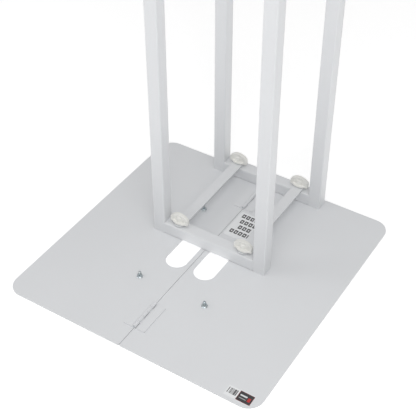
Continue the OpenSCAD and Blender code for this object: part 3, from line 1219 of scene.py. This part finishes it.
class STAND_OT_plugs(bpy.types.Operator):
    """Build the plugs in the ends of the posts"""

    bl_idname = "stand.plugs"
    bl_label = "Post plugs"

    def execute(self, context):
        for end in ENDS:
            node = f"{end}_post_plugs"
            finished(f"{end}_plugs", eased(node, edge=0.4 * MM), [node])
        return {"FINISHED"}


class STAND_OT_top_plate(bpy.types.Operator):
    """Build the top plate with its four fixing holes"""

    bl_idname = "stand.top_plate"
    bl_label = "Top plate"

    def execute(self, context):
        sizes = context.scene.stand_sheet
        low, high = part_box("top_plate")
        mounts = {mount["name"]: mount for mount in frame["record"]["mounts"]}
        mount = mounts["top_holes"]
        centre, dims = mount["pos_m"], mount["dims"]
        reach_x, reach_y = dims["spacing_x_mm"] * MM / 2, dims["spacing_y_mm"] * MM / 2
        holes = [
            round_hole(centre[0] + x * reach_x, centre[1] + y * reach_y, dims["hole_r_mm"] * MM)
            for x in (-1, 1) for y in (-1, 1)]
        outline = round_rectangle(low, high, [sizes.top_corner] * 4)
        sheet = cut_sheet(outline, holes, low.z, high.z, sizes.edge)
        finished("top_sheet", sheet, ["top_plate"])
        return {"FINISHED"}


class STAND_OT_knobs(bpy.types.Operator):
    """Build the eight moulded thumb knobs"""

    bl_idname = "stand.knobs"
    bl_label = "Thumb knobs"

    def execute(self, context):
        mesh = self.moulding(context.scene.stand_knob, extent("bottom_front_left_knob").z)
        for clamp in CLAMPS:
            name = "_".join(clamp)
            node = f"{name}_knob"
            knob = moved(mesh.copy(), clamp_matrix(node, *clamp))
            finished(f"{name}_thumb_knob", knob, [node], sharp=180.0)
        return {"FINISHED"}

    def moulding(self, sizes, height):
        """One knob on the origin, its parts blended as in a mould."""
        half = sizes.thickness / 2
        arch = arc_radius(sizes.blade, height - sizes.shoulder)
        foot, foot_top = self.boat(sizes.blade - 1 * MM, sizes.foot / 2), sizes.foot_height
        hub, hub_top = sizes.hub, sizes.hub_height
        chamfer, crown = 0.5 * MM, 0.9 * MM
        swell, fillet, draft = 0.8 * MM, 1.2 * MM, 0.6 * MM
        dome_inset, dome_edge, dome_top = 2 * MM, 1.2 * MM, 1.6 * MM
        rib_recess, rib_sink, rib_overlap = 0.2 * MM, 1 * MM, 0.5 * MM
        parts = [
            turned([
                (0, 0), (foot(-chamfer), 0), (foot(0), chamfer), (foot(0), foot_top - crown),
                (foot(-crown), foot_top), (0, foot_top)], steps=96),
            turned([
                (0, 0), (hub + swell, 0), (hub + swell, foot_top), (hub, foot_top + fillet),
                (hub - draft, hub_top), (hub - dome_inset, hub_top + dome_edge),
                (0, hub_top + dome_top)]),
            self.slab(self.outline(sizes, height, arch, 0.0), half - sizes.recess),
            self.rim(sizes, height, arch, half),
        ]
        for share in RIBS:
            x = sizes.blade * share
            top = height - arch + math.sqrt((arch - sizes.rim) ** 2 - x * x) + rib_overlap
            parts.append(self.rib(x, sizes.rib, half - rib_recess, foot_top - rib_sink, top))
        obj = shown("moulding", joined(parts))
        blend = obj.modifiers.new("blend", "REMESH")
        blend.mode = "VOXEL"
        blend.voxel_size = sizes.voxel
        soft = obj.modifiers.new("soft", "SMOOTH")
        soft.factor = 0.5
        soft.iterations = 3
        return plain_mesh(obj)

    def boat(self, half_length, half_width):
        """Radius of the foot by angle, for an inset: two arcs that meet at the blade's ends."""
        arc = arc_radius(half_length, half_width)
        drop = arc - half_width

        def inset(change):
            return lambda angle: (
                math.sqrt(arc * arc - (drop * math.cos(angle)) ** 2)
                - drop * abs(math.sin(angle)) + change)

        return inset

    def outline(self, sizes, height, arch, inset):
        """Outline of the blade in X and Z: straight ends with an arch over them."""
        reach, radius = sizes.blade - inset, arch - inset
        spread = math.asin(reach / radius)
        ledge, steps = 0.4 * MM, 48
        floor = sizes.foot_height + ledge if inset else 0.0
        points = [(-reach, floor), (reach, floor)]
        for step in range(steps + 1):
            angle = spread * (1 - 2 * step / steps)
            points.append((radius * math.sin(angle), height - arch + radius * math.cos(angle)))
        return points

    def loop(self, shape, outline, y):
        """Corners of an outline in X and Z, at one depth."""
        return [shape.verts.new((x, y, z)) for x, z in outline]

    def skirt(self, shape, first, second):
        """Faces between two loops of corners."""
        for index in range(len(first)):
            after = (index + 1) % len(first)
            shape.faces.new([first[index], first[after], second[after], second[index]])

    def slab(self, outline, half):
        """Mesh of an outline in X and Z, drawn out along Y to both sides."""
        shape = bmesh.new()
        front, back = self.loop(shape, outline, -half), self.loop(shape, outline, half)
        shape.faces.new(front)
        shape.faces.new(list(reversed(back)))
        self.skirt(shape, back, front)
        return built(shape, "slab")

    def rim(self, sizes, height, arch, half):
        """The raised rim: the band between two outlines."""
        outer = self.outline(sizes, height, arch, 0.0)
        inner = self.outline(sizes, height, arch, sizes.rim)
        shape = bmesh.new()
        loops = [
            self.loop(shape, outline, y)
            for outline, y in ((outer, -half), (inner, -half), (inner, half), (outer, half))]
        for first, second in zip(loops, loops[1:] + loops[:1]):
            self.skirt(shape, first, second)
        return built(shape, "rim")

    def rib(self, x, width, half, low, high):
        """One upright grip rib across the blade."""
        left, right = x - width / 2, x + width / 2
        return self.slab([(left, low), (right, low), (right, high), (left, high)], half)


class STAND_OT_screws(bpy.types.Operator):
    """Build the clamp screws inside the knobs"""

    bl_idname = "stand.screws"
    bl_label = "Clamp screws"

    def execute(self, context):
        sizes = context.scene.stand_hardware
        radius, pitch = sizes.screw / 2, sizes.screw_pitch
        depth, point, chamfer = THREAD_DEPTH * pitch, 0.8 * MM, 0.5 * MM
        core, length = radius - depth, extent("bottom_front_left_screw").z
        rod = turned([
            (0, 0), (core - point, 0), (core, point), (core, length - chamfer),
            (core - chamfer, length), (0, length)])
        plain_ends = 4 * MM
        screw = threaded(rod, core, depth, pitch, start=1.5 * MM, length=length - plain_ends)
        for clamp in CLAMPS:
            name = "_".join(clamp)
            node = f"{name}_screw"
            finished(
                f"{name}_clamp_screw", moved(screw.copy(), clamp_matrix(node, *clamp)), [node])
        return {"FINISHED"}


# ---- studio ------------------------------------------------------------------------------------


class STAND_OT_stage(bpy.types.Operator):
    """Build the pale floor, the soft light and the camera"""

    bl_idname = "stand.stage"
    bl_label = "Studio"

    def execute(self, context):
        scene = context.scene
        scene.view_settings.view_transform = "Standard"
        self.floor()
        self.room(scene)
        self.softbox("left_softbox", place=(-2.3, -1.6, 2.1), side=1.4, power=11.0)
        self.softbox("right_softbox", place=(1.7, -1.8, 2.3), side=1.4, power=10.0)
        self.softbox("overhead_softbox", place=(0.5, -0.6, 3.4), side=2.0, power=26.0)
        self.softbox("front_softbox", place=(0.9, -1.5, 1.9), side=0.8, power=5.0)
        self.camera(scene)
        return {"FINISHED"}

    def floor(self):
        """A white paper floor, just under the stand, so that no two faces share a plane."""
        reach, drop = 12.0, 0.05 * MM
        mesh = bpy.data.meshes.new("floor")
        mesh.from_pydata(
            [(-reach, -reach, -drop), (reach, -reach, -drop), (reach, reach, -drop),
             (-reach, reach, -drop)], [], [(0, 1, 2, 3)])
        paper = Material(
            "white_paper",
            {"Roughness": 0.9, "Emission Strength": 0.33, "Emission Color": (1.0, 1.0, 1.0, 1.0)})
        tone = paper.noise(3.0)
        paper.feed("Base Color", paper.blend(tone, (0.93, 0.93, 0.93), (0.95, 0.95, 0.95)))
        mesh.materials.append(paper.material)
        shown("floor", mesh)

    def room(self, scene):
        """Even light from a white room, which the camera sees as plain white."""
        world = bpy.data.worlds.new("white room")
        world.use_nodes = True
        background = world.node_tree.nodes["Background"]
        background.inputs["Color"].default_value = (1.0, 1.0, 1.0, 1.0)
        graph = Graph(world.node_tree)
        seen = graph.node("ShaderNodeLightPath", output="Is Camera Ray")
        sky = scene.stand_studio.sky
        world.node_tree.links.new((sky + (1 - sky) * seen).socket, background.inputs["Strength"])
        scene.world = world

    def softbox(self, name, place, side, power):
        """A soft square light that faces the foot of the stand."""
        light = bpy.data.lights.new(name, "AREA")
        light.shape = "SQUARE"
        light.size = side
        light.energy = power
        lamp = shown(name, light)
        lamp.location = place
        aim = Vector((0.0, 0.1, 0.1)) - Vector(place)
        lamp.rotation_euler = aim.to_track_quat("-Z", "Y").to_euler()

    def camera(self, scene):
        """The camera, turned and raised about the point that it looks at."""
        studio = scene.stand_studio
        flat = math.cos(studio.elevation)
        back = Vector((
            math.sin(studio.azimuth) * flat, -math.cos(studio.azimuth) * flat,
            math.sin(studio.elevation)))
        data = bpy.data.cameras.new("camera")
        data.sensor_width = 36.0
        data.lens = studio.lens
        camera = shown("camera", data)
        camera.location = Vector(studio.target) + back * studio.distance
        camera.rotation_euler = (-back).to_track_quat("-Z", "Y").to_euler()
        scene.camera = camera


# ---- add-on ------------------------------------------------------------------------------------


PIECES = (
    STAND_OT_base_plate, STAND_OT_hinges, STAND_OT_spare_studs, STAND_OT_bosses, STAND_OT_labels,
    STAND_OT_posts, STAND_OT_rails, STAND_OT_welds, STAND_OT_bars, STAND_OT_washers,
    STAND_OT_plugs, STAND_OT_top_plate, STAND_OT_knobs, STAND_OT_screws, STAND_OT_stage,
)
SETTINGS = {
    "stand_sheet": SheetSizes,
    "stand_tube": TubeSizes,
    "stand_knob": KnobSizes,
    "stand_hardware": HardwareSizes,
    "stand_finishes": Finishes,
    "stand_studio": Studio,
}


class STAND_PT_panel(bpy.types.Panel):
    """The stand's sizes, finishes and pieces"""

    bl_idname = "STAND_PT_panel"
    bl_label = "Tower stand"
    bl_space_type = "VIEW_3D"
    bl_region_type = "UI"
    bl_category = "Tower stand"

    def draw(self, context):
        for name in SETTINGS:
            box = self.layout.box()
            group = getattr(context.scene, name)
            for setting in group.__annotations__:
                box.prop(group, setting)
        for piece in PIECES:
            self.layout.operator(piece.bl_idname)


CLASSES = (*SETTINGS.values(), *PIECES, STAND_PT_panel)


def register():
    for kind in CLASSES:
        bpy.utils.register_class(kind)
    for name, kind in SETTINGS.items():
        setattr(bpy.types.Scene, name, bpy.props.PointerProperty(type=kind))


def unregister():
    for name in SETTINGS:
        delattr(bpy.types.Scene, name)
    for kind in reversed(CLASSES):
        bpy.utils.unregister_class(kind)


def main():
    """Build the whole stand."""
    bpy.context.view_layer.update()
    register()
    for piece in PIECES:
        getattr(bpy.ops.stand, piece.bl_idname.split(".")[1])()


if __name__ == "__main__":
    main()
